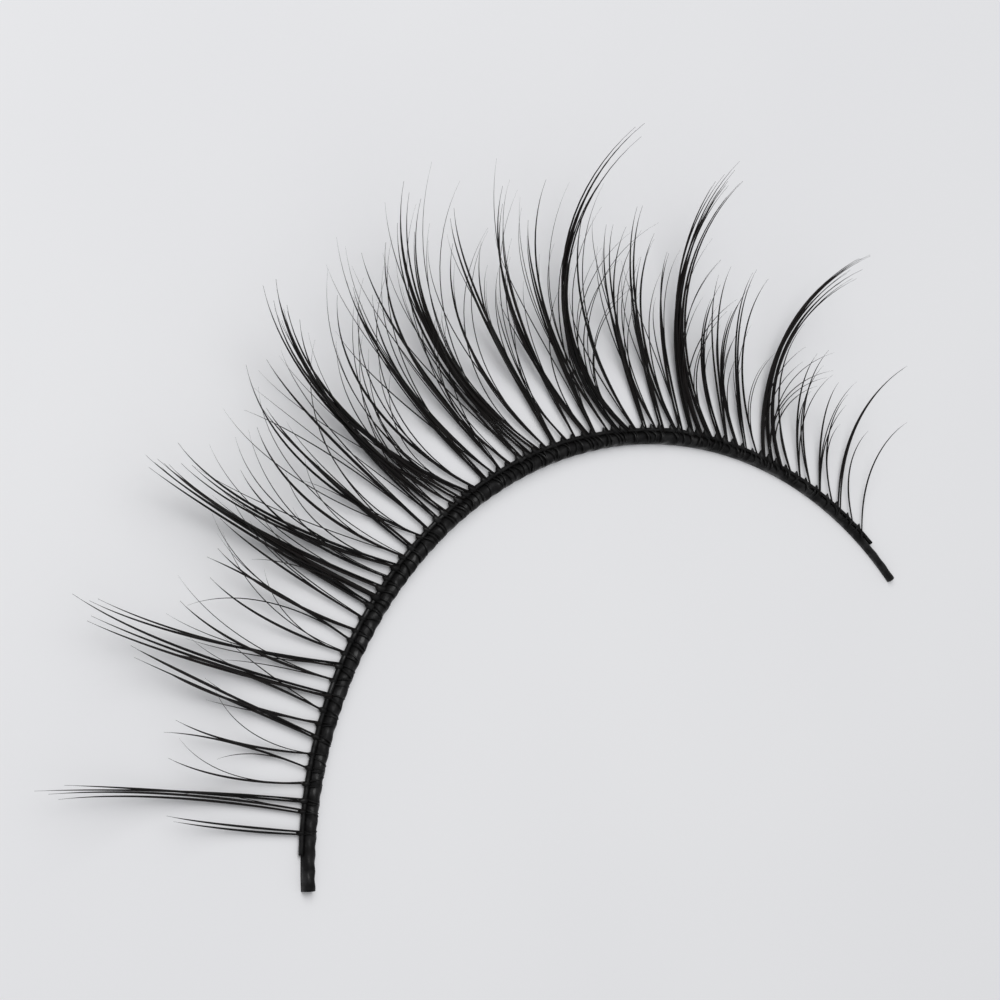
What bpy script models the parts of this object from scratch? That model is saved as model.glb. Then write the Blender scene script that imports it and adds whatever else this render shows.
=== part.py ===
"""A false eyelash strip: a black band bent in an arc, and a fringe of lash locks that curl up from it.

Metres, +Z up. The strip lies on its band, whose flat underside is at z = 0. The origin is the middle
of that underside, halfway along the arc. +X runs along the chord, from the outer end of the eye, where
the lashes are long, to the inner end, where they are short. +Y points to the lash tips.
"""

import math
from collections import namedtuple

import bmesh
import bpy

# Band, which is glued to the eyelid
BAND_LENGTH = 0.0330  # along the inner edge of the arc
BAND_RADIUS = 0.0132  # of the inner edge
BAND_WIDTH = 0.00052  # where it is widest
BAND_HEIGHT = 0.00040  # where it is widest
BAND_STATIONS = 44
BAND_SHOULDER = 0.7  # under 1, the half-round section is fuller at its shoulders

# Row of knots along the outer side of the band, which the lashes grow from
KNOT_WIDTH = 0.00036
KNOT_HEIGHT = 0.00030
KNOT_START = 0.034  # share of the band's length that stays bare at the outer end
KNOT_END = 0.956
KNOT_CLEARANCE = 0.00005  # between the band and the knots

# Lash locks
LASH_LENGTH = 0.0133  # the longest lash, along its curl
LOCK_WIDTH = 0.00090  # the widest lock, at its root
LOCK_DEPTH = 0.00030  # the same lock, up and down
LOCK_TIP = 0.00006  # width of every tip
LOCK_LIFT = 0.00003  # from the table to the underside of a root
LOCK_STATIONS = 10
CURL_OUTER = 18.0  # degrees that a tip points up, at the outer end
CURL_INNER = 60.0
CURL_START = 1.4  # above 1, a lash stays low near the band and curls towards its tip

# Width of the band along its length, as shares of its length and of its widest place
BandSection = namedtuple("BandSection", "place width")
BAND_SECTIONS = (
    BandSection(0.00, 0.88),
    BandSection(0.20, 1.00),
    BandSection(0.50, 0.98),
    BandSection(0.66, 0.80),
    BandSection(0.82, 0.58),
    BandSection(1.00, 0.50),
)

# place: share of the band's length. reach: share of the longest lash. lean: degrees that the root
# leans to the outer end. turn: degrees that the lock swings back by its tip. width: share of the widest.
Lock = namedtuple("Lock", "place reach lean turn width")

# The spikes, which are the long pointed locks that stand out of the fringe
SPIKES = (
    Lock(0.055, 0.45, 0, 5, 0.55),
    Lock(0.080, 0.90, 0, -5, 0.80),
    Lock(0.145, 0.70, -5, -5, 0.75),
    Lock(0.185, 0.95, 10, 5, 0.90),
    Lock(0.215, 0.90, 20, 10, 0.75),
    Lock(0.290, 0.95, 15, 0, 0.95),
    Lock(0.325, 0.90, 30, 15, 0.95),
    Lock(0.395, 0.95, 20, 15, 0.95),
    Lock(0.425, 0.95, 35, 25, 0.95),
    Lock(0.510, 0.95, 35, 30, 1.00),
    Lock(0.620, 0.90, 45, 80, 0.95),
    Lock(0.715, 0.75, 35, 40, 1.00),
    Lock(0.805, 0.60, 35, 60, 0.95),
    Lock(0.900, 0.40, 35, 30, 0.55),
    Lock(0.935, 0.30, 40, 20, 0.45),
)

# What a lock between two spikes usually is, at a few places
USUAL = (
    Lock(0.05, 0.40, 0, 0, 0.55),
    Lock(0.20, 0.60, 5, 0, 0.70),
    Lock(0.35, 0.80, 20, 10, 0.80),
    Lock(0.50, 0.80, 30, 15, 0.80),
    Lock(0.60, 0.70, 30, 10, 0.75),
    Lock(0.70, 0.50, 30, 5, 0.70),
    Lock(0.80, 0.40, 35, 5, 0.70),
    Lock(0.95, 0.20, 50, 10, 0.50),
)
LOCK_PITCH = 0.00080  # usual distance from one lock to the next, along the band
CROSSING = 6  # degrees that every other lock leans more, and then swings back more

BAND_ANGLE = BAND_LENGTH / BAND_RADIUS
PROFILE_SIDES = 8
WELD_DISTANCE = 1e-7
ROOM_HEIGHT = 4 * (KNOT_HEIGHT + LOCK_DEPTH)  # runs well past the roots, up and down
ROOM_OVERRUN = 0.04  # share of the band's length that the room runs past each of its ends


def clear_scene():
    for thing in list(bpy.data.objects):
        bpy.data.objects.remove(thing)


def new_collection(name):
    collection = bpy.data.collections.new(name)
    bpy.context.scene.collection.children.link(collection)
    return collection


def new_material(name, colour, roughness):
    material = bpy.data.materials.new(name)
    material.use_nodes = True
    shader = material.node_tree.nodes["Principled BSDF"]
    shader.inputs["Base Color"].default_value = (*colour, 1)
    shader.inputs["Roughness"].default_value = roughness
    shader.inputs["Metallic"].default_value = 0
    material.diffuse_color = (*colour, 1)
    return material


def band_share(place):
    """Width of the band at this place, as a share of its widest, eased between the sections."""
    place = min(max(place, 0), 1)
    for before, after in zip(BAND_SECTIONS, BAND_SECTIONS[1:]):
        if place <= after.place:
            along = (place - before.place) / (after.place - before.place)
            eased = along * along * (3 - 2 * along)
            return before.width + (after.width - before.width) * eased
    return BAND_SECTIONS[-1].width


def band_angle(place):
    """Angle from +Y towards +X, about the arc's centre."""
    return (place - 0.5) * BAND_ANGLE


def arc_point(place, out, height=0.0):
    """The point at this share of the band, this far outside the arc's inner edge."""
    centre_y = -BAND_RADIUS - BAND_WIDTH * band_share(0.5) / 2
    radius = BAND_RADIUS + out
    angle = band_angle(place)
    return (radius * math.sin(angle), centre_y + radius * math.cos(angle), height)


def band_edge(place):
    return BAND_WIDTH * band_share(place)


def shares(start, end, count):
    return [start + (end - start) * i / (count - 1) for i in range(count)]


def curve_object(name, points, cyclic, dimensions):
    curve = bpy.data.curves.new(name, "CURVE")
    curve.dimensions = dimensions
    spline = curve.splines.new("POLY")
    spline.points.add(len(points) - 1)
    for point, place in zip(spline.points, points):
        point.co = (*place, 1)
    spline.use_cyclic_u = cyclic
    return bpy.data.objects.new(name, curve)


def helper(thing, collection):
    thing.hide_render = True
    thing.display_type = "WIRE"
    collection.objects.link(thing)
    return thing


def half_round(name, collection, width, height):
    """A section with a flat underside, its origin in the middle of that side."""
    angles = [math.pi * i / (PROFILE_SIDES - 2) for i in range(PROFILE_SIDES - 1)]
    points = [(-width / 2 * math.cos(a), height * math.sin(a) ** BAND_SHOULDER, 0) for a in angles]
    return helper(curve_object(name, points, True, "2D"), collection)


def oval(name, collection, width, height):
    angles = [-2 * math.pi * i / PROFILE_SIDES for i in range(PROFILE_SIDES)]
    points = [(width / 2 * math.cos(a), height / 2 * math.sin(a), 0) for a in angles]
    return helper(curve_object(name, points, True, "2D"), collection)


def swept_mesh(name, points, profile, sizes):
    """The profile carried along the points and scaled at each, as one closed mesh."""
    guide = curve_object(name, points, False, "3D")
    guide.data.twist_mode = "Z_UP"
    guide.data.bevel_mode = "OBJECT"
    guide.data.bevel_object = profile
    guide.data.use_fill_caps = True
    for point, size in zip(guide.data.splines[0].points, sizes):
        point.radius = size
    bpy.context.scene.collection.objects.link(guide)
    depsgraph = bpy.context.evaluated_depsgraph_get()
    mesh = bpy.data.meshes.new_from_object(guide.evaluated_get(depsgraph))
    bpy.data.objects.remove(guide)
    return closed_mesh(mesh, name)


def closed_mesh(mesh, name):
    shape = bmesh.new()
    shape.from_mesh(mesh)
    bmesh.ops.remove_doubles(shape, verts=shape.verts, dist=WELD_DISTANCE)
    bmesh.ops.recalc_face_normals(shape, faces=shape.faces)
    shape.to_mesh(mesh)
    shape.free()
    mesh.name = name
    mesh.materials.clear()
    return mesh


def band_mesh(profile):
    places = shares(0, 1, BAND_STATIONS)
    points = [arc_point(place, band_edge(place) / 2) for place in places]
    return swept_mesh("band", points, profile, [band_share(place) for place in places])


def knot_mesh(profile):
    places = shares(KNOT_START, KNOT_END, BAND_STATIONS)
    out = KNOT_CLEARANCE + KNOT_WIDTH / 2
    points = [arc_point(place, band_edge(place) + out) for place in places]
    return swept_mesh("knots", points, profile, [1.0] * len(places))


def usual_lock(place):
    """The usual lock at this place, mixed from the rows on either side of it."""
    for before, after in zip(USUAL, USUAL[1:]):
        if place <= after.place:
            along = (place - before.place) / (after.place - before.place)
            return Lock(*[low + (high - low) * along for low, high in zip(before, after)])
    return USUAL[-1]


def locks_between(before, after):
    """Usual locks at an even pitch between two spikes. Every other one crosses its neighbour."""
    spaces = max(round((after.place - before.place) * BAND_LENGTH / LOCK_PITCH), 1)
    found = []
    for number, place in enumerate(shares(before.place, after.place, spaces + 1)[1:-1]):
        lock = usual_lock(place)
        sway = CROSSING if number % 2 else -CROSSING
        found.append(lock._replace(lean=lock.lean + sway, turn=lock.turn + 2 * sway))
    return found


def all_locks():
    locks = [SPIKES[0]]
    for before, after in zip(SPIKES, SPIKES[1:]):
        locks += [*locks_between(before, after), after]
    return locks


def lock_points(lock):
    """The middle line of a lock: it leaves the knots flat, leaning, then swings back and curls up."""
    root_height = LOCK_LIFT + LOCK_DEPTH * lock.width / 2
    out = band_edge(lock.place) + KNOT_CLEARANCE + KNOT_WIDTH / 2
    x, y, z = arc_point(lock.place, out, root_height)
    step = LASH_LENGTH * lock.reach / LOCK_STATIONS
    curl = math.radians(CURL_OUTER + (CURL_INNER - CURL_OUTER) * lock.place)
    points = [(x, y, z)]
    for i in range(LOCK_STATIONS):
        along = (i + 0.5) / LOCK_STATIONS
        heading = band_angle(lock.place) - math.radians(lock.lean - lock.turn * along)
        rise = curl * along**CURL_START
        x += step * math.sin(heading) * math.cos(rise)
        y += step * math.cos(heading) * math.cos(rise)
        z += step * math.sin(rise)
        points.append((x, y, z))
    return points


def lock_mesh(lock, name, profile):
    tip = LOCK_TIP / LOCK_WIDTH
    sizes = [tip + (lock.width - tip) * (1 - along) for along in shares(0, 1, LOCK_STATIONS + 1)]
    return swept_mesh(name, lock_points(lock), profile, sizes)


def band_room(collection):
    """Cuts the fringe back to the band's outer edge, with the clearance, and clears the arc inside it."""
    places = shares(-ROOM_OVERRUN, 1 + ROOM_OVERRUN, 2 * BAND_STATIONS)
    edge = [arc_point(place, band_edge(place) + KNOT_CLEARANCE) for place in places]
    outline = curve_object("band_room", edge + [arc_point(0.5, -BAND_RADIUS)], True, "2D")
    outline.data.fill_mode = "BOTH"
    outline.data.extrude = ROOM_HEIGHT / 2
    bpy.context.scene.collection.objects.link(outline)
    depsgraph = bpy.context.evaluated_depsgraph_get()
    mesh = bpy.data.meshes.new_from_object(outline.evaluated_get(depsgraph))
    bpy.data.objects.remove(outline)
    return helper(bpy.data.objects.new("band_room", closed_mesh(mesh, "band_room")), collection)


def build_band(parts, helpers):
    profile = half_round("band_profile", helpers, BAND_WIDTH, BAND_HEIGHT)
    band = bpy.data.objects.new("band", band_mesh(profile))
    band.data.materials.append(new_material("band", (0.010, 0.009, 0.009), 0.45))
    parts.objects.link(band)


def build_fringe(parts, helpers):
    knot_profile = half_round("knot_profile", helpers, KNOT_WIDTH, KNOT_HEIGHT)
    lock_profile = oval("lock_profile", helpers, LOCK_WIDTH, LOCK_DEPTH)
    locks = bpy.data.collections.new("lash_locks")
    helpers.children.link(locks)
    for number, lock in enumerate(all_locks(), 1):
        name = f"lock_{number:02d}"
        helper(bpy.data.objects.new(name, lock_mesh(lock, name, lock_profile)), locks)

    fringe = bpy.data.objects.new("lash_fringe", knot_mesh(knot_profile))
    fringe.data.materials.append(new_material("lash", (0.014, 0.011, 0.010), 0.35))
    parts.objects.link(fringe)

    union = fringe.modifiers.new("fuse_locks", "BOOLEAN")
    union.operation = "UNION"
    union.operand_type = "COLLECTION"
    union.collection = locks
    trim = fringe.modifiers.new("room_for_band", "BOOLEAN")
    trim.operation = "DIFFERENCE"
    trim.object = band_room(helpers)


def main():
    clear_scene()
    parts = new_collection("false_eyelash_strip")
    helpers = new_collection("helpers")
    build_band(parts, helpers)
    build_fringe(parts, helpers)


main()
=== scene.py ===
# %% [markdown]
# # A false eyelash strip
#
# The strip is a thin black cotton band, bent in an arc, with a few hundred fine fibres knotted to its
# outer side. Some fibres come together in long pointed spikes, and shorter, finer ones fill the gaps
# between them. This notebook loads the plain solids of the strip as a fixed frame and dresses them:
# a twisted band under a coat of glue, the loops and knots that hold the lashes, and every lash as a
# tapered fibre of its own.

# %% Load the frame
import math
import random
from collections import namedtuple

import bmesh
import bpy
from mathutils import Matrix, Vector, noise


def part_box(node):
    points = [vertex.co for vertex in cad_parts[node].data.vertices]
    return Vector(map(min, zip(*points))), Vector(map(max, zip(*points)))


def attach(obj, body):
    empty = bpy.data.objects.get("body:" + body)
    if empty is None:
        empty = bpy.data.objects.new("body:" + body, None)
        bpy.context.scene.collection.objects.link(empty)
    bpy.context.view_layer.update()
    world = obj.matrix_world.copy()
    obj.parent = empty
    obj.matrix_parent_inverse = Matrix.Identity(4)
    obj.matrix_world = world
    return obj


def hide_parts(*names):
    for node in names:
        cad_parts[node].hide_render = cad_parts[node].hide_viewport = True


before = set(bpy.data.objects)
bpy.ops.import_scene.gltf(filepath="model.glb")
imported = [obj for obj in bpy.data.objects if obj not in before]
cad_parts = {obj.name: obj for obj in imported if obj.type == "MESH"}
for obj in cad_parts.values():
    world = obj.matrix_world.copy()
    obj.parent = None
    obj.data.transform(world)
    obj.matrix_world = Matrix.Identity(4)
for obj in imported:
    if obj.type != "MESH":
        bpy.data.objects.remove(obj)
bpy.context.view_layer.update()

# %% [markdown]
# ## The arc that everything follows
#
# The band is part of a circle, so one function can turn a place along the band into a point. A place
# is a share of the band's length: 0 is the outer end of the eye, where the lashes are long, and 1 is
# the inner end. The sizes repeat those of the solids, and the next cell measures how far this arc
# lies from the band that was loaded.

# %% Sizes of the band
BAND_LENGTH = 0.0330  # along the inner edge of the arc
BAND_RADIUS = 0.0132  # of the inner edge
BAND_WIDTH = 0.00052  # where it is widest
BAND_HEIGHT = 0.00040  # where it is widest
BAND_SHOULDER = 0.7  # under 1, the half-round section is fuller at its shoulders
BAND_ANGLE = BAND_LENGTH / BAND_RADIUS
UP = Vector((0, 0, 1))

# Width of the band along its length, as shares of its length and of its widest place
BandSection = namedtuple("BandSection", "place width")
BAND_SECTIONS = (
    BandSection(0.00, 0.88),
    BandSection(0.20, 1.00),
    BandSection(0.50, 0.98),
    BandSection(0.66, 0.80),
    BandSection(0.82, 0.58),
    BandSection(1.00, 0.50),
)

print("the arc spans", round(math.degrees(BAND_ANGLE)), "degrees")

# %% [markdown]
# ## Points of the arc
#
# Widths change softly from one row of the table to the next, so they are mixed with an eased share. A
# spline through the rows would do the same, but this is two lines and can't overshoot.

# %% Find points of the arc
def mix(before, after, along):
    return before + (after - before) * along


def ease(along):
    """Goes from 0 to 1, slowly at both ends."""
    along = min(max(along, 0), 1)
    return along * along * (3 - 2 * along)


def band_share(place):
    for before, after in zip(BAND_SECTIONS, BAND_SECTIONS[1:]):
        if place <= after.place:
            along = (place - before.place) / (after.place - before.place)
            return mix(before.width, after.width, ease(along))
    return BAND_SECTIONS[-1].width


CENTRE_Y = -BAND_RADIUS - BAND_WIDTH * band_share(0.5) / 2


def band_angle(place):
    """Angle from +Y towards +X, about the arc's centre."""
    return (place - 0.5) * BAND_ANGLE


def arc_point(place, out, height=0.0):
    """The point at this share of the band, this far outside its inner edge."""
    angle = band_angle(place)
    radius = BAND_RADIUS + out
    return Vector((radius * math.sin(angle), CENTRE_Y + radius * math.cos(angle), height))


def band_edge(place):
    """Width of the band at this place, so also how far out its outer edge lies."""
    return BAND_WIDTH * band_share(place)


band_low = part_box("band")[0]
corner = arc_point(0, band_edge(0))
print("arc against solid, in mm:", round(1000 * (corner.x - band_low.x), 3))

# %% [markdown]
# ## A rod that can be laid along any line
#
# A band, a loop and a hair are the same kind of shape: a section carried along a line. So one helper
# makes a straight rod, and another lays it along a line. The rod is a cone primitive with two equal
# ends, whose long edges are subdivided into stations. Each ring of the rod then moves to its station,
# turned to face along the line. Extruding a ring step by step would make the same mesh, but a rod that
# already has its rings can be copied hundreds of times and costs one operator in all.

# %% Make a rod
Ring = namedtuple("Ring", "along angle")


def new_rod(sides, rings):
    """A closed rod of radius 1 and length 1 along Z, from -0.5 to 0.5, with this many rings."""
    rod = bmesh.new()
    bmesh.ops.create_cone(
        rod, cap_ends=True, cap_tris=False, segments=sides, radius1=1, radius2=1, depth=1
    )
    long_edges = [e for e in rod.edges if abs(e.verts[0].co.z - e.verts[1].co.z) > 0.5]
    bmesh.ops.subdivide_edges(rod, edges=long_edges, cuts=rings - 2, use_grid_fill=False)
    bmesh.ops.recalc_face_normals(rod, faces=rod.faces)
    return rod


def rings_of(verts):
    """Where each vertex of a rod lies: its share of the length, and its angle round the section."""
    return [Ring(vert.co.z + 0.5, math.atan2(vert.co.y, vert.co.x)) for vert in verts]


sample_rod = new_rod(6, 17)
print("a rod with 6 sides and 17 rings has", len(sample_rod.faces), "faces")
sample_rod.free()

# %% [markdown]
# ## Laying a rod along a line
#
# Each point of a line becomes a station with two directions across it: a level one, and one square to
# both that and the line. A ring is drawn in those two directions. Because the first one stays level,
# a section never rolls over, and the flat side of the band stays down.

# %% Lay a rod along a line
Station = namedtuple("Station", "point side lift along")


def stations_of(points):
    """Each point of a line with its two directions across, and its share of the length."""
    gaps = [(after - before).length for before, after in zip(points, points[1:])]
    total, done, found = sum(gaps), 0.0, []
    for number, point in enumerate(points):
        before = points[max(number - 1, 0)]
        after = points[min(number + 1, len(points) - 1)]
        ahead = (after - before).normalized()
        side = ahead.cross(UP).normalized()
        found.append(Station(point, side, side.cross(ahead), done / total))
        done += gaps[number] if number < len(gaps) else 0
    return found


def lay_along(verts, rings, points, section):
    """Moves a rod's vertices onto a line. The section gives how far across and up each one goes."""
    stations = stations_of(points)
    for vert, ring in zip(verts, rings):
        station = stations[round(ring.along * (len(points) - 1))]
        across, rise = section(ring.angle, station.along)
        vert.co = station.point + station.side * across + station.lift * rise


edge_line = [arc_point(number / 20, 0) for number in range(21)]
print("the middle station lies at", round(stations_of(edge_line)[10].along, 3), "of the edge")

# %% [markdown]
# ## From a shape to a piece
#
# Every shape ends the same way. It becomes a mesh that is shaded smooth, rides on the strip's one body,
# and stands for the plain solid that it hides.

# %% Finish a piece
def finished_piece(name, shape, node):
    mesh = bpy.data.meshes.new(name)
    shape.to_mesh(mesh)
    shape.free()
    mesh.shade_smooth()
    piece = bpy.data.objects.new(name, mesh)
    bpy.context.scene.collection.objects.link(piece)
    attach(piece, "root")
    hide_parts(node)
    print(name, "has", sum(len(face.vertices) - 2 for face in mesh.polygons), "triangles")
    return piece


# %% [markdown]
# ## The band
#
# The band is a two-ply cotton thread that was soaked in glue and pressed flat underneath as it dried.
# Its section is the half-round one of the solid. Two soft ridges wind round it, because that is how
# two plies show under a coat of glue, and slow noise makes it a little uneven, as a hand-made one is.
# The relief fades out at the flat underside, so the band still lies level.

# %% Build the band
BAND_SIDES = 20
BAND_RINGS = 420
TWIST_PITCH = 0.00105  # length in which one ply goes once round
TWIST_RELIEF = 0.055  # height of a ridge, as a share of the section
UNEVEN_RELIEF = 0.035
UNEVEN_SCALE = 900  # of the noise, per metre


def half_round(angle, width, height):
    """How far across and up a point of the band's section lies, its underside flat."""
    round_part = max(math.sin(angle), 0)
    return width / 2 * math.cos(angle), height * round_part**BAND_SHOULDER


def band_section(angle, along):
    twist = 2 * (angle - 2 * math.pi * along * BAND_LENGTH / TWIST_PITCH)
    place = arc_point(along, 0)
    uneven = noise.noise(place * UNEVEN_SCALE + UP * angle)
    relief = max(math.sin(angle), 0) ** 0.5
    swell = 1 + relief * (TWIST_RELIEF * (math.cos(twist) - 1) + UNEVEN_RELIEF * uneven)
    across, rise = half_round(angle, band_edge(along), BAND_HEIGHT * band_share(along))
    return across * swell, rise * swell


band_shape = new_rod(BAND_SIDES, BAND_RINGS)
shares = [number / (BAND_RINGS - 1) for number in range(BAND_RINGS)]
middle = [arc_point(share, band_edge(share) / 2) for share in shares]
lay_along(list(band_shape.verts), rings_of(band_shape.verts), middle, band_section)
bmesh.ops.recalc_face_normals(band_shape, faces=band_shape.faces)
print("band volume in mm3:", round(1e9 * band_shape.calc_volume(), 2))
band = finished_piece("band_thread", band_shape, "band")

# %% [markdown]
# ## The line of a lash
#
# A lash leaves the band leaning to the outer end of the eye, swings back towards its tip, and curls
# up from the table. Three angles that change along the lash say all of that: the lean at the root, the
# turn by the tip, and the curl. Adding short steps in those directions gives the line. A curve object
# with a bevel would also draw hairs, but a line of points is easier to bunch with its neighbours.

# %% Draw one lash line
LASH_LENGTH = 0.0133  # the longest lash, along its curl
ROOT_OUT = 0.00023  # from the band's outer edge to where the lean starts
ROOT_DEPTH = 0.00010  # how far a root runs back into the band
ROOT_HEIGHT = 0.00014
CURL_OUTER = 18.0  # degrees that a tip points up, at the outer end
CURL_INNER = 60.0
CURL_START = 1.4  # above 1, a lash stays low near the band and curls towards its tip
LASH_RINGS = 24

# place: share of the band's length. reach: share of the longest lash. lean: degrees that the root
# leans to the outer end. turn: degrees that it swings back by the tip. curl: degrees it rises.
Lash = namedtuple("Lash", "place reach lean turn curl")


def heading(place, lean):
    """A level direction away from the band, leaning to the outer end by this many degrees."""
    angle = band_angle(place) - math.radians(lean)
    return Vector((math.sin(angle), math.cos(angle), 0))


def along_band(place):
    """The level direction in which the place grows."""
    angle = band_angle(place)
    return Vector((math.cos(angle), -math.sin(angle), 0))


def lash_line(lash, cut=1.0):
    """The points of a lash from inside the band, up to this share of its length."""
    point = arc_point(lash.place, band_edge(lash.place) + ROOT_OUT, ROOT_HEIGHT)
    back = (ROOT_OUT + ROOT_DEPTH) / math.cos(math.radians(lash.lean))
    points = [point - heading(lash.place, lash.lean) * back, point]
    steps = LASH_RINGS - 2
    step = LASH_LENGTH * lash.reach * cut / steps
    for number in range(steps):
        along = cut * (number + 0.5) / steps
        rise = math.radians(lash.curl) * along**CURL_START
        level = heading(lash.place, lash.lean - lash.turn * along)
        point = point + (level * math.cos(rise) + UP * math.sin(rise)) * step
        points.append(point)
    return points


def curl_at(place):
    return mix(CURL_OUTER, CURL_INNER, place)


sample_line = lash_line(Lash(0.5, 1, 30, 20, curl_at(0.5)))
print("a long lash in the middle rises", round(1000 * sample_line[-1].z, 2), "mm")

# %% [markdown]
# ## The spikes
#
# The long pointed spikes give the strip its outline, so each has a row of its own, in round figures
# that follow the photograph. Their places, reaches, leans and turns are those of the solids. A spike
# is not one thick hair: it has up to three roots, and a few fibres leave the band from each.

# %% Table of the spikes
Spike = namedtuple("Spike", "place reach lean turn roots fibres")
SPIKES = (
    Spike(0.055, 0.45, 0, 5, 1, 2),
    Spike(0.080, 0.90, 0, -5, 2, 2),
    Spike(0.145, 0.70, -5, -5, 1, 3),
    Spike(0.185, 0.95, 10, 5, 1, 3),
    Spike(0.215, 0.90, 20, 10, 1, 2),
    Spike(0.290, 0.95, 15, 0, 3, 3),
    Spike(0.325, 0.90, 30, 15, 1, 3),
    Spike(0.395, 0.95, 20, 15, 2, 2),
    Spike(0.425, 0.95, 35, 25, 2, 2),
    Spike(0.510, 0.95, 35, 30, 3, 2),
    Spike(0.620, 0.90, 45, 80, 2, 3),
    Spike(0.715, 0.75, 35, 40, 3, 4),
    Spike(0.805, 0.60, 35, 60, 3, 4),
    Spike(0.900, 0.40, 35, 30, 1, 2),
    Spike(0.935, 0.30, 40, 20, 1, 1),
)
print(len(SPIKES), "spikes with", sum(spike.roots for spike in SPIKES), "roots")

# %% [markdown]
# ## Roots that come together
#
# The roots of a spike stand side by side and meet further out. Where they should meet gives how much
# more the farther root has to lean: to close a gap over a length, a line that turns evenly starts off
# by twice the gap over that length. The extra turn then brings it level with its neighbour, and the
# strands run on together to the tip.

# %% Roots of a spike
Strand = namedtuple("Strand", "place reach lean turn fibres")
ROOT_PITCH = 0.00033  # between two roots of a spike
MEETING = 0.7  # share of the spike's length where its strands meet
SIDE_REACH = 0.94  # reach of a strand at a spike's side, as a share of the spike's


def spike_strands(spike):
    for number in range(spike.roots):
        apart = (number - (spike.roots - 1) / 2) * ROOT_PITCH
        closing = math.degrees(2 * apart / (MEETING * LASH_LENGTH * spike.reach))
        yield Strand(
            spike.place + apart / BAND_LENGTH,
            spike.reach * (1 if number == spike.roots // 2 else SIDE_REACH),
            spike.lean + closing + math.degrees(apart / BAND_RADIUS),
            spike.turn + closing / MEETING,
            spike.fibres,
        )


widest = max(len(list(spike_strands(spike))) for spike in SPIKES)
print("a spike has up to", widest, "strands")

# %% [markdown]
# ## Strands between the spikes
#
# Between two spikes, strands stand at a near even pitch. What is usual for them changes slowly along
# the strip, so a short table gives it at a few places, and the rest is mixed. Every other strand leans
# more and then swings back more, because the real ones are tied crosswise, and this makes the row of
# crossed feet above the band.

# %% Strands between the spikes
Usual = namedtuple("Usual", "place pitch reach lean turn fibres")
USUAL = (
    Usual(0.05, 0.00052, 0.40, 0, 0, 1.0),
    Usual(0.20, 0.00045, 0.55, 5, 0, 1.0),
    Usual(0.35, 0.00040, 0.74, 20, 10, 1.3),
    Usual(0.50, 0.00040, 0.80, 30, 15, 1.4),
    Usual(0.60, 0.00040, 0.72, 30, 10, 1.6),
    Usual(0.70, 0.00038, 0.52, 30, 5, 2.0),
    Usual(0.80, 0.00044, 0.42, 35, 5, 1.6),
    Usual(0.95, 0.00056, 0.20, 50, 10, 0.8),
)
CROSSING = 7.0  # degrees that every other strand leans more
CROSSING_TURN = 14.0  # degrees that it then swings back more
PLACE_STRAY = 0.00007  # how far along the band a root may be off its place
REACH_STRAY = 0.12  # share of its reach that a strand may be longer or shorter
LEAN_STRAY = 3.0
SEED = 20

draw = random.Random(SEED)


def usual_at(place):
    """The usual strand at this place, mixed from the rows on either side of it."""
    for before, after in zip(USUAL, USUAL[1:]):
        if place <= after.place:
            share = (place - before.place) / (after.place - before.place)
            return Usual(*[mix(low, high, share) for low, high in zip(before, after)])
    return USUAL[-1]


def strands_between(before, after):
    """Strands in the gap that the roots of two spikes leave."""
    first = before.place + (before.roots - 1) / 2 * ROOT_PITCH / BAND_LENGTH
    last = after.place - (after.roots - 1) / 2 * ROOT_PITCH / BAND_LENGTH
    pitch = usual_at((first + last) / 2).pitch
    spaces = max(round((last - first) * BAND_LENGTH / pitch), 1)
    for number in range(1, spaces):
        place = mix(first, last, number / spaces)
        usual = usual_at(place)
        sway = 1 if number % 2 else -1
        stray = draw.uniform(-LEAN_STRAY, LEAN_STRAY)
        yield Strand(
            place + draw.uniform(-PLACE_STRAY, PLACE_STRAY) / BAND_LENGTH,
            usual.reach * (1 + draw.uniform(-REACH_STRAY, REACH_STRAY)),
            usual.lean + sway * CROSSING + stray,
            usual.turn + sway * CROSSING_TURN + 2 * stray,
            max(int(usual.fibres + draw.random()), 1),
        )


STRANDS = list(spike_strands(SPIKES[0]))
for before, after in zip(SPIKES, SPIKES[1:]):
    STRANDS += [*strands_between(before, after), *spike_strands(after)]
print(len(STRANDS), "strands with", sum(strand.fibres for strand in STRANDS), "fibres")

# %% [markdown]
# ## Fibres that wind round each other
#
# The fibres of a strand touch at the root, wind round the strand's line, and close to a point. Each
# strays a little in lean, turn and curl, and all but one are cut a little short, which gives the soft,
# brush-like tips. A twisted curve with an array would be quicker, but would give every strand the same
# tip.

# %% Draw the fibres of the strands
FIBRE_RADIUS = 0.000050
FINER = 0.8  # how much of the band's narrowing the fibres share
BUNDLE_TWIST = 1.6  # radians that the fibres of a strand wind round each other
STRAY_LEAN = 0.6  # degrees, how far a fibre strays from its strand
STRAY_TURN = 1.8
STRAY_CURL = 1.5
SHORTEST = 0.86  # of a strand's fibres, as a share of its longest
FIBRE_SIZES = (0.88, 1.1)  # thinnest and thickest, as shares of the usual radius

Fibre = namedtuple("Fibre", "points radius tone")


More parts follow.
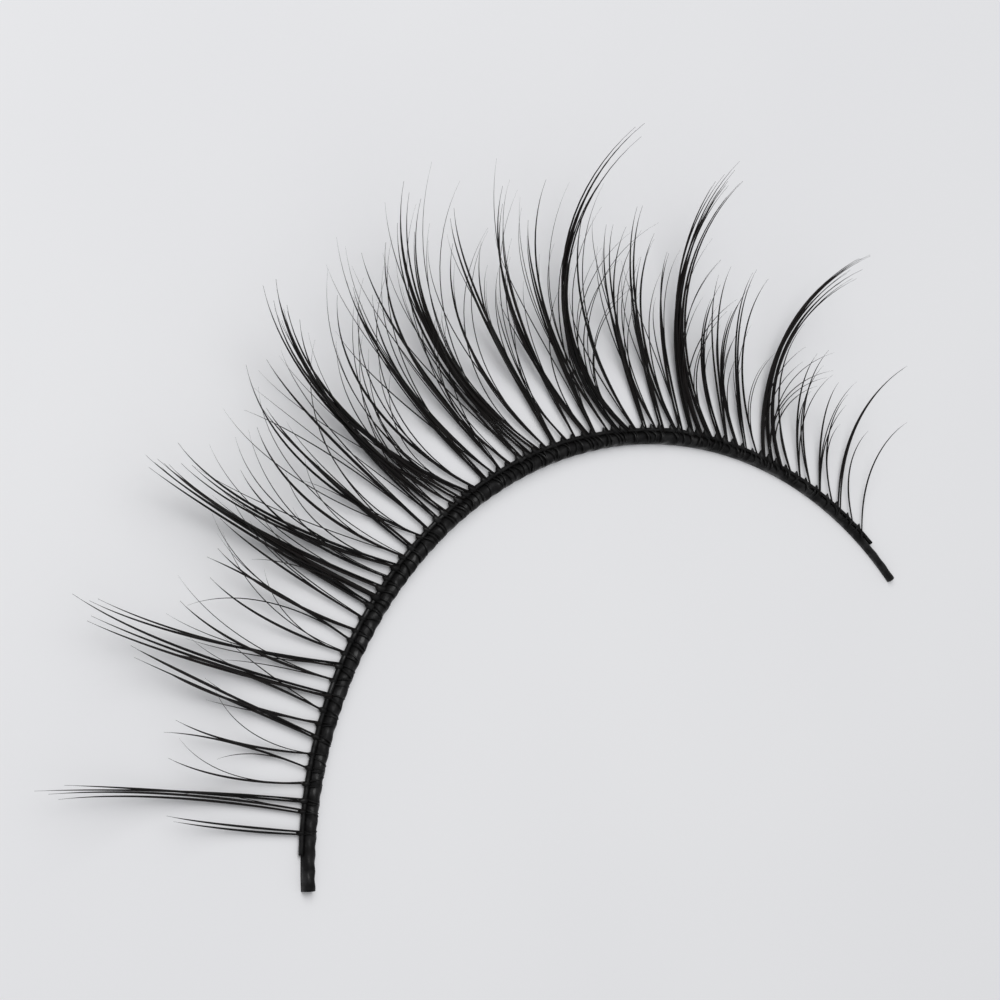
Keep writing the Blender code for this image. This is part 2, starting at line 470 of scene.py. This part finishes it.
def strand_fibres(strand):
    """Fibres packed round the strand's line. They wind round each other and close at the tip."""
    start = draw.uniform(-0.5, 0.5)
    spacing = 0 if strand.fibres == 1 else 1 / math.sin(math.pi / strand.fibres)
    for number in range(strand.fibres):
        lash = Lash(
            strand.place,
            strand.reach,
            strand.lean + draw.gauss(0, STRAY_LEAN),
            strand.turn + draw.gauss(0, STRAY_TURN),
            curl_at(strand.place) + draw.gauss(0, STRAY_CURL),
        )
        cut = draw.uniform(SHORTEST, 1) if number else 1
        radius = FIBRE_RADIUS * mix(1, band_share(strand.place), FINER) * draw.uniform(*FIBRE_SIZES)
        line = lash_line(lash, cut)
        points = []
        for station in stations_of(line):
            along = station.along * cut
            angle = start + 2 * math.pi * number / strand.fibres + BUNDLE_TWIST * along
            off = spacing * radius * (1 - along**2)
            across = station.side * math.cos(angle) + station.lift * math.sin(angle)
            points.append(station.point + across * off)
        yield Fibre(points, radius, draw.random())


strand_hairs = [fibre for strand in STRANDS for fibre in strand_fibres(strand)]
print("thickest fibre in mm:", round(2000 * max(fibre.radius for fibre in strand_hairs), 3))

# %% [markdown]
# ## Finer fibres in the gaps
#
# Between the spikes, thinner and shorter fibres make the fringe look soft and grey from a distance.
# They leave the band inside a strand and fan out of it further up, so the gaps at the band stay open
# and the haze hangs above them. The middle of the strip has the most of them, and its ends have few.
# Apart from that, each one is a seeded draw, so each run of the notebook makes the same strip.

# %% Deal the fillers
# place: share of the band's length. reach: share of the longest lash. count: fillers to a strand.
Fill = namedtuple("Fill", "place reach count")
FILLS = (
    Fill(0.045, 0.30, 0.8),
    Fill(0.150, 0.55, 0.8),
    Fill(0.240, 0.62, 1.6),
    Fill(0.350, 0.72, 3.2),
    Fill(0.500, 0.80, 3.8),
    Fill(0.620, 0.68, 3.6),
    Fill(0.720, 0.46, 2.8),
    Fill(0.820, 0.32, 1.8),
    Fill(0.945, 0.20, 0.4),
)
FILLER_RADIUS = 0.000021
FILLER_SIZES = (0.8, 1.2)  # thinnest and thickest, as shares of that radius
FILLER_REACHES = (0.6, 1.15)  # shortest and longest, as shares of the usual reach
FILLER_LEAN = 4.0  # degrees to either side of its strand, at the root
FILLER_TURN = 26.0  # degrees to either side of its strand, by the tip
FILLER_CURL = 8.0
FILLER_JITTER = 0.00005  # how far its root lies from the strand's


def fill_at(place):
    """The usual reach of a filler at this place, and how many a strand has."""
    for before, after in zip(FILLS, FILLS[1:]):
        if place <= after.place:
            share = (place - before.place) / (after.place - before.place)
            return [mix(a, b, share) for a, b in zip(before[1:], after[1:])]
    return list(FILLS[-1][1:])


def fillers_of(strand):
    reach, count = fill_at(strand.place)
    for _ in range(int(count + draw.random())):
        lash = Lash(
            strand.place + draw.uniform(-FILLER_JITTER, FILLER_JITTER) / BAND_LENGTH,
            reach * draw.uniform(*FILLER_REACHES),
            strand.lean + draw.uniform(-FILLER_LEAN, FILLER_LEAN),
            strand.turn + draw.uniform(-FILLER_TURN, FILLER_TURN),
            curl_at(strand.place) + draw.uniform(-FILLER_CURL, FILLER_CURL),
        )
        yield Fibre(lash_line(lash), FILLER_RADIUS * draw.uniform(*FILLER_SIZES), draw.random())


filler_hairs = [fibre for strand in STRANDS for fibre in fillers_of(strand)]
print(len(strand_hairs), "fibres in strands and", len(filler_hairs), "fillers")

# %% [markdown]
# ## One fibre
#
# Every fibre is the same slim rod with six sides, copied, laid along its own line and made finer
# towards its root and its tip. Hundreds of copies stay light because one rod has few faces. A map
# unrolls the rod, one side beside the other, so that colour can be painted along its length.

# %% Make the rod of a fibre
FIBRE_SIDES = 6
FIBRE_MAP = "OFBake"
FIBRE_TIP = 0.10  # thickness of a tip, as a share of its belly's
FIBRE_ROOT = 0.72  # thickness at the root, as a share of its belly's
FIBRE_BELLY = 0.35  # share of the length by which it is thickest
TAPER = 3.0  # above 1, a fibre keeps its thickness until near its tip


def taper(along):
    """Thickness of a lash, as a share of its belly's."""
    return mix(FIBRE_ROOT, 1, ease(along / FIBRE_BELLY)) * max(1 - along**TAPER, FIBRE_TIP)


def even(along):
    """Thickness of a fibre that was cut, and so has no tip."""
    return 1


def fibre_rod(rings):
    """The rod that every fibre copies, as a mesh that keeps its map."""
    rod = new_rod(FIBRE_SIDES, rings)
    layer = rod.loops.layers.uv.new(FIBRE_MAP)
    for face in rod.faces:
        middle = face.calc_center_median()
        side = int((math.atan2(middle.y, middle.x) / (2 * math.pi) + 0.5) * FIBRE_SIDES)
        for loop in face.loops:
            past = loop.vert.co.cross(middle).z < 0
            loop[layer].uv = ((side + past) / FIBRE_SIDES, loop.vert.co.z + 0.5)
    mesh = bpy.data.meshes.new("fibre_rod")
    rod.to_mesh(mesh)
    rod.free()
    return mesh


print("halfway along, a fibre keeps", round(taper(0.5), 2), "of its thickness")

# %% [markdown]
# ## Joining the hairs
#
# All fibres of a kind are joined in one mesh, because hundreds of objects would be slow to load. Each
# copy carries two numbers for its material: how far along the fibre a vertex lies, and a tone that
# differs from one fibre to the next. It also gets a column of the map to itself.

# %% Join the hairs
COLUMN_EDGE = 0.1  # share of a column left free at each side


def round_section(radius, thickness):
    """A round section that follows this thickness along the rod."""

    def section(angle, along):
        here = radius * thickness(along)
        return here * math.cos(angle), here * math.sin(angle)

    return section


def join_fibres(fibres, thickness=taper):
    """One bmesh of all these fibres, with their tones and columns."""
    rod = fibre_rod(len(fibres[0].points))
    rings = rings_of(rod.vertices)
    joined = bmesh.new()
    along_layer = joined.verts.layers.float.new("along")
    tone_layer = joined.verts.layers.float.new("tone")
    map_layer = joined.loops.layers.uv.new(FIBRE_MAP)
    for number, fibre in enumerate(fibres):
        known_verts, known_faces = len(joined.verts), len(joined.faces)
        joined.from_mesh(rod)
        joined.verts.ensure_lookup_table()
        joined.faces.ensure_lookup_table()
        copied = joined.verts[known_verts:]
        lay_along(copied, rings, fibre.points, round_section(fibre.radius, thickness))
        for vert, ring in zip(copied, rings):
            vert[along_layer] = ring.along
            vert[tone_layer] = fibre.tone
        for face in joined.faces[known_faces:]:
            for loop in face.loops:
                across, up = loop[map_layer].uv
                column = number + mix(COLUMN_EDGE, 1 - COLUMN_EDGE, across)
                loop[map_layer].uv = (column / len(fibres), up)
    bmesh.ops.recalc_face_normals(joined, faces=joined.faces)
    return joined


lashes = finished_piece("lashes", join_fibres(strand_hairs), "lash_fringe")
fillers = finished_piece("filler_lashes", join_fibres(filler_hairs), "lash_fringe")

# %% [markdown]
# ## The binding thread
#
# The lashes are tied on. A binding thread runs along the outer side of the band, and every strand is
# wound over it. It is one more rod, laid just outside the band's edge, and noise swells and thins it
# as spun cotton does.

# %% Build the binding thread
BINDING_START = 0.034  # share of the band's length that stays bare at the outer end
BINDING_END = 0.956
BINDING_RADIUS = 0.000085
BINDING_OUT = 0.000055  # from the band's outer edge to the middle of the thread
BINDING_SIDES = 8
BINDING_RINGS = 360
BINDING_SWELL = 0.16  # how uneven it is, as a share of its radius
BINDING_SCALE = 4200  # of the noise, per metre
BINDING_FINER = 0.5  # how much of the band's narrowing it shares


def binding_point(share):
    place = mix(BINDING_START, BINDING_END, share)
    height = BINDING_RADIUS * (1 + BINDING_SWELL)
    return arc_point(place, band_edge(place) + BINDING_OUT, height)


def binding_section(angle, along):
    place = mix(BINDING_START, BINDING_END, along)
    swell = 1 + BINDING_SWELL * noise.noise(arc_point(place, 0) * BINDING_SCALE + UP * angle)
    radius = BINDING_RADIUS * mix(1, band_share(place), BINDING_FINER) * swell
    return radius * math.cos(angle), radius * math.sin(angle)


binding_shape = new_rod(BINDING_SIDES, BINDING_RINGS)
binding_line = [binding_point(number / (BINDING_RINGS - 1)) for number in range(BINDING_RINGS)]
lay_along(list(binding_shape.verts), rings_of(binding_shape.verts), binding_line, binding_section)
bmesh.ops.recalc_face_normals(binding_shape, faces=binding_shape.faces)
binding = finished_piece("binding_thread", binding_shape, "lash_fringe")

# %% [markdown]
# ## Knots at the roots
#
# At each strand the fibres are wound over the thread as a small knot, which makes the band's outer
# side bumpy. Each one is a sphere drawn out to a drop that leans with its lash. A tied rod would be
# truer, but at a quarter of a millimetre the glue has filled a knot's turns.

# %% Build the knots
KNOT_ALONG = 0.00013  # half of its size along the band
KNOT_OUT = 0.00023  # half of its size away from the band
KNOT_UP = 0.00011  # half of its height
KNOT_MIDDLE = 0.00009  # from the band's outer edge to its middle
KNOT_POINT = 0.55  # how much narrower it gets towards the lash
KNOT_LEAN = 0.6  # share of its strand's lean
KNOT_FINER = 0.6  # how much of the band's narrowing it shares
KNOT_START = 0.8  # its size before any fibre is counted
KNOT_GROWTH = 0.1  # how much each fibre adds
KNOT_SIZES = (0.9, 1.1)  # smallest and largest, as shares of that
KNOT_SEGMENTS = 10
KNOT_RINGS = 7


def add_knot(shape, strand):
    """A knot at the root of this strand, larger where more fibres leave it."""
    narrowing = mix(1, band_share(strand.place), KNOT_FINER)
    size = (KNOT_START + KNOT_GROWTH * strand.fibres) * draw.uniform(*KNOT_SIZES) * narrowing
    outward, sideways = heading(strand.place, strand.lean * KNOT_LEAN), along_band(strand.place)
    middle = arc_point(strand.place, band_edge(strand.place) + KNOT_MIDDLE, KNOT_UP * size)
    made = bmesh.ops.create_uvsphere(
        shape, u_segments=KNOT_SEGMENTS, v_segments=KNOT_RINGS, radius=1
    )
    for vert in made["verts"]:
        across, out, up = vert.co
        narrow = 1 - KNOT_POINT * max(out, 0)
        vert.co = middle + size * (
            sideways * KNOT_ALONG * across * narrow
            + outward * KNOT_OUT * out
            + UP * KNOT_UP * up * narrow
        )


knots_shape = bmesh.new()
for strand in STRANDS:
    add_knot(knots_shape, strand)
bmesh.ops.recalc_face_normals(knots_shape, faces=knots_shape.faces)
knots = finished_piece("root_knots", knots_shape, "lash_fringe")

# %% [markdown]
# ## Loops over the band
#
# The short ends of the fibres go up over the band, and the glue holds them down. Each is a slim rod
# over the half-round section, sunk in the glue by part of its thickness, and wholly at its inner end.
# A bump in the material would be cheaper, but these are what makes the band's top uneven in outline.

# %% Build the loops over the band
LOOP_RADIUS = 0.000034
LOOP_RINGS = 12
LOOP_FROM = math.radians(12)  # round the section, from its outer side
LOOP_TO = math.radians(128)
LOOP_SLANT = 0.00022  # how far along the band it goes while it crosses
LOOP_SUNK = 0.4  # share of its radius that lies in the glue
LOOP_END_SUNK = 1.6
LOOPS_PER_KNOT = 2
LOOP_PITCH = 0.00013
LOOP_JITTER = 0.3  # as a share of the pitch
LOOP_SIZES = (0.8, 1.1)  # thinnest and thickest, as shares of the usual radius


def loop_line(place, slant):
    """Points from the band's outer side over its top to the inner side."""
    points = []
    for number in range(LOOP_RINGS):
        share = number / (LOOP_RINGS - 1)
        here = place + slant * share / BAND_LENGTH
        across, rise = half_round(
            mix(LOOP_FROM, LOOP_TO, share), band_edge(here), BAND_HEIGHT * band_share(here)
        )
        sunk = mix(LOOP_SUNK, LOOP_END_SUNK, ease(2 * share - 1))
        proud = 1 + LOOP_RADIUS * (1 - sunk) / (band_edge(here) / 2)
        points.append(arc_point(here, band_edge(here) / 2 + across * proud, rise * proud))
    return points


def loops_of(strand):
    for number in range(LOOPS_PER_KNOT):
        offset = number - 0.5 + draw.uniform(-LOOP_JITTER, LOOP_JITTER)
        line = loop_line(
            strand.place + offset * LOOP_PITCH / BAND_LENGTH, LOOP_SLANT * draw.uniform(-1.0, 1.0)
        )
        yield Fibre(line, LOOP_RADIUS * draw.uniform(*LOOP_SIZES), draw.random())


loop_fibres = [fibre for strand in STRANDS for fibre in loops_of(strand)]
loops = finished_piece("band_loops", join_fibres(loop_fibres, even), "lash_fringe")

# %% [markdown]
# ## Materials
#
# Shader graphs are hard to read as lists of nodes and links, so two small classes let them be written
# as sums. A `Wire` is one output socket, and adding or multiplying it makes a math node. A `Finish` is
# a material, whose `node` method adds any other node and gives back a wire.

# %% Write shaders as sums
class Wire:
    """One output of a node. Arithmetic on it adds a math node and gives that node's output."""

    def __init__(self, finish, socket):
        self.finish, self.socket = finish, socket

    def maths(self, operation, *values):
        return self.finish.node("Math", dict(enumerate(values)), operation=operation)

    def __add__(self, other):
        return self.maths("ADD", self, other)

    def __sub__(self, other):
        return self.maths("SUBTRACT", self, other)

    def __mul__(self, other):
        return self.maths("MULTIPLY", self, other)

    def __pow__(self, other):
        return self.maths("POWER", self, other)

    def __rsub__(self, other):
        return self.maths("SUBTRACT", other, self)

    __radd__ = __add__
    __rmul__ = __mul__


class Finish:
    """A material with one Principled shader."""

    def __init__(self, name, **constants):
        self.material = bpy.data.materials.new(name)
        self.material.use_nodes = True
        self.tree = self.material.node_tree
        self.shader = self.tree.nodes["Principled BSDF"]
        self.plug(self.shader, {key.replace("_", " "): value for key, value in constants.items()})

    def plug(self, node, inputs):
        """Links each wire to its input, and sets each plain value on it."""
        for key, value in inputs.items():
            if isinstance(value, Wire):
                self.tree.links.new(value.socket, node.inputs[key])
            else:
                node.inputs[key].default_value = value

    def node(self, kind, inputs=None, output=0, stops=(), **settings):
        """Adds a node of this kind. Stops are the two (place, colour) pairs of a colour ramp."""
        node = self.tree.nodes.new("ShaderNode" + kind)
        for name, value in settings.items():
            setattr(node, name, value)
        for number, (position, colour) in enumerate(stops):
            element = node.color_ramp.elements[number]
            element.position, element.color = position, (*colour, 1)
        self.plug(node, inputs or {})
        return Wire(self, node.outputs[output])

    def attribute(self, name):
        return self.node("Attribute", output="Fac", attribute_name=name)

    def noise(self, scale, detail=2.0, roughness=0.5):
        place = self.node("TexCoord", output="Object")
        inputs = {"Vector": place, "Scale": scale, "Detail": detail, "Roughness": roughness}
        return self.node("TexNoise", inputs)

    def bump(self, height, distance):
        return self.node("Bump", {"Height": height, "Distance": distance})

    def dress(self, *pieces, **inputs):
        """Plugs these wires into the shader, and gives the material to the pieces."""
        self.plug(self.shader, {key.replace("_", " "): value for key, value in inputs.items()})
        for piece in pieces:
            piece.data.materials.append(self.material)
        print(self.material.name, "is a graph of", len(self.tree.nodes), "nodes")


# %% [markdown]
# ## Lash fibre
#
# The fibres are spun from a dark synthetic, near black, whose tips look a little warmer where the light
# comes through them. Each fibre has its own tone. The sheen along a fibre comes from its roughness and
# from the lamp, and a fine bump breaks it up as dye and dust do.

# %% Lash fibre
ROOT_COLOUR = (0.0022, 0.0020, 0.0021)
TIP_COLOUR = (0.016, 0.012, 0.011)
GRAIN_SCALE = 26000  # per metre
GRAIN_DEPTH = 0.0000018

fibre_finish = Finish("lash_fibre", Specular_IOR_Level=0.2)
own_tone = fibre_finish.attribute("tone")
towards_tip = fibre_finish.attribute("along")
grain = fibre_finish.noise(GRAIN_SCALE)
fibre_finish.dress(
    lashes,
    fillers,
    Base_Color=fibre_finish.node(
        "ValToRGB",
        {"Fac": own_tone * 0.45 + towards_tip**2 * 0.55},
        stops=((0.0, ROOT_COLOUR), (1.0, TIP_COLOUR)),
    ),
    Roughness=0.34 + own_tone * 0.12 + grain * 0.08,
    Normal=fibre_finish.bump(grain, GRAIN_DEPTH),
)

# %% [markdown]
# ## Glued thread
#
# The band and what is tied to it are soaked in black latex glue. The thread underneath is matt, and the
# glue lies over it in a thin, uneven coat. So a coat weight from slow noise gives the broken
# highlights along the band, while a finer noise roughens the thread.

# %% Glued thread
THREAD_DARK = (0.0018, 0.0018, 0.0020)
THREAD_WORN = (0.007, 0.0065, 0.0065)
POOL_SCALE = 2600  # per metre, of the uneven coat
YARN_SCALE = 15000
YARN_DEPTH = 0.0000045


def glued(name, pieces, gloss):
    """Thread under glue. Gloss is how much of it the glue covers."""
    finish = Finish(name, Specular_IOR_Level=0.16, Coat_Roughness=0.2, Coat_IOR=1.4)
    pools = finish.noise(POOL_SCALE, detail=3.0)
    yarn = finish.noise(YARN_SCALE, detail=3.0, roughness=0.6)
    finish.dress(
        *pieces,
        Base_Color=finish.node(
            "ValToRGB",
            {"Fac": yarn * 0.7 + pools * 0.3},
            stops=((0.35, THREAD_DARK), (0.75, THREAD_WORN)),
        ),
        Roughness=0.42 + yarn * 0.25,
        Coat_Weight=finish.node("Clamp", {"Value": (pools - 0.5) * 3.0 + gloss}),
        Normal=finish.bump(yarn, YARN_DEPTH),
    )


glued("glued_band", [band], 0.2)
glued("glued_knots", [binding, knots, loops], 0.1)

# %% [markdown]
# ## Floor
#
# The strip lies on a plain, pale floor. Slow noise between two near greys keeps it from looking like
# an empty background, and it is wide enough for its edge to stay out of every view.

# %% Floor
FLOOR_SIZE = 1.2
FLOOR_PALE = (0.86, 0.86, 0.87)
FLOOR_DULL = (0.83, 0.83, 0.845)
FLOOR_SCALE = 45  # of the noise, per metre

floor_shape = bmesh.new()
bmesh.ops.create_grid(floor_shape, x_segments=2, y_segments=2, size=FLOOR_SIZE / 2)
floor_mesh = bpy.data.meshes.new("floor")
floor_shape.to_mesh(floor_mesh)
floor_shape.free()
floor = bpy.data.objects.new("floor", floor_mesh)
bpy.context.scene.collection.objects.link(floor)
sheet = Finish("floor", Specular_IOR_Level=0.3)
cloud = sheet.noise(FLOOR_SCALE, detail=2.0)
sheet.dress(
    floor,
    Base_Color=sheet.node("ValToRGB", {"Fac": cloud}, stops=((0.3, FLOOR_DULL), (0.7, FLOOR_PALE))),
    Roughness=0.5 + cloud * 0.1,
)

# %% [markdown]
# ## Camera
#
# The camera looks at the strip from the photograph's side, and is rolled so that the arc lies in the
# picture as it does there. A lash strip is small and was seen from far off, so the lens is a long one:
# a short lens would bend the arc out of shape.

# %% Camera
VIEW_AZIMUTH = math.radians(243.8)
VIEW_ELEVATION = math.radians(52.7)
VIEW_ROLL = math.radians(94.0)
VIEW_CENTRE = Vector((-0.0011, -0.0006, 0))
VIEW_WIDTH = 0.0321  # of what the picture shows, at the centre
LENS = 700

back = Vector((
    math.sin(VIEW_AZIMUTH) * math.cos(VIEW_ELEVATION),
    -math.cos(VIEW_AZIMUTH) * math.cos(VIEW_ELEVATION),
    math.sin(VIEW_ELEVATION),
))
camera_data = bpy.data.cameras.new("camera")
camera_data.lens = LENS
distance = VIEW_WIDTH * LENS / camera_data.sensor_width
camera_data.clip_start = distance / 100
camera_data.clip_end = distance * 20
camera = bpy.data.objects.new("camera", camera_data)
bpy.context.scene.collection.objects.link(camera)
facing = (-back).to_track_quat("-Z", "Y").to_matrix() @ Matrix.Rotation(VIEW_ROLL, 3, "Z")
camera.matrix_world = Matrix.Translation(VIEW_CENTRE + back * distance) @ facing.to_4x4()
bpy.context.scene.camera = camera
picture_right, picture_up = facing.col[0], facing.col[1]
print("camera stands", round(1000 * distance), "mm away")

# %% [markdown]
# ## Light
#
# One large soft lamp stands to the upper left of the picture, and a pale world fills the shadows. A
# lamp as wide as it is far away gives a hair no hard shadow, so the fringe looks light, and its broad
# reflection is what shows the round of the band.

# %% Light
KEY_SIZE = 0.34
KEY_DISTANCE = 0.36
KEY_POWER = 0.95
KEY_RAISED = 0.90  # how much of its way from the strip goes straight up
KEY_LEFT = 0.35  # and to the left of the picture
KEY_ABOVE = 0.45  # and to its upper edge
WORLD_STRENGTH = 0.46
WORLD_COLOUR = (0.97, 0.98, 1.0, 1)

key_data = bpy.data.lights.new("key", "AREA")
key_data.shape = "SQUARE"
key_data.size = KEY_SIZE
key_data.energy = KEY_POWER
key = bpy.data.objects.new("key", key_data)
bpy.context.scene.collection.objects.link(key)
from_strip = (UP * KEY_RAISED - picture_right * KEY_LEFT + picture_up * KEY_ABOVE).normalized()
key.location = VIEW_CENTRE + from_strip * KEY_DISTANCE
key.rotation_euler = from_strip.to_track_quat("Z", "Y").to_euler()

world = bpy.data.worlds.new("pale_room")
world.use_nodes = True
sky = world.node_tree.nodes["Background"]
sky.inputs["Color"].default_value = WORLD_COLOUR
sky.inputs["Strength"].default_value = WORLD_STRENGTH
bpy.context.scene.world = world
bpy.context.scene.view_settings.view_transform = "Standard"
print("lamp of", KEY_SIZE, "m, at", KEY_DISTANCE, "m")
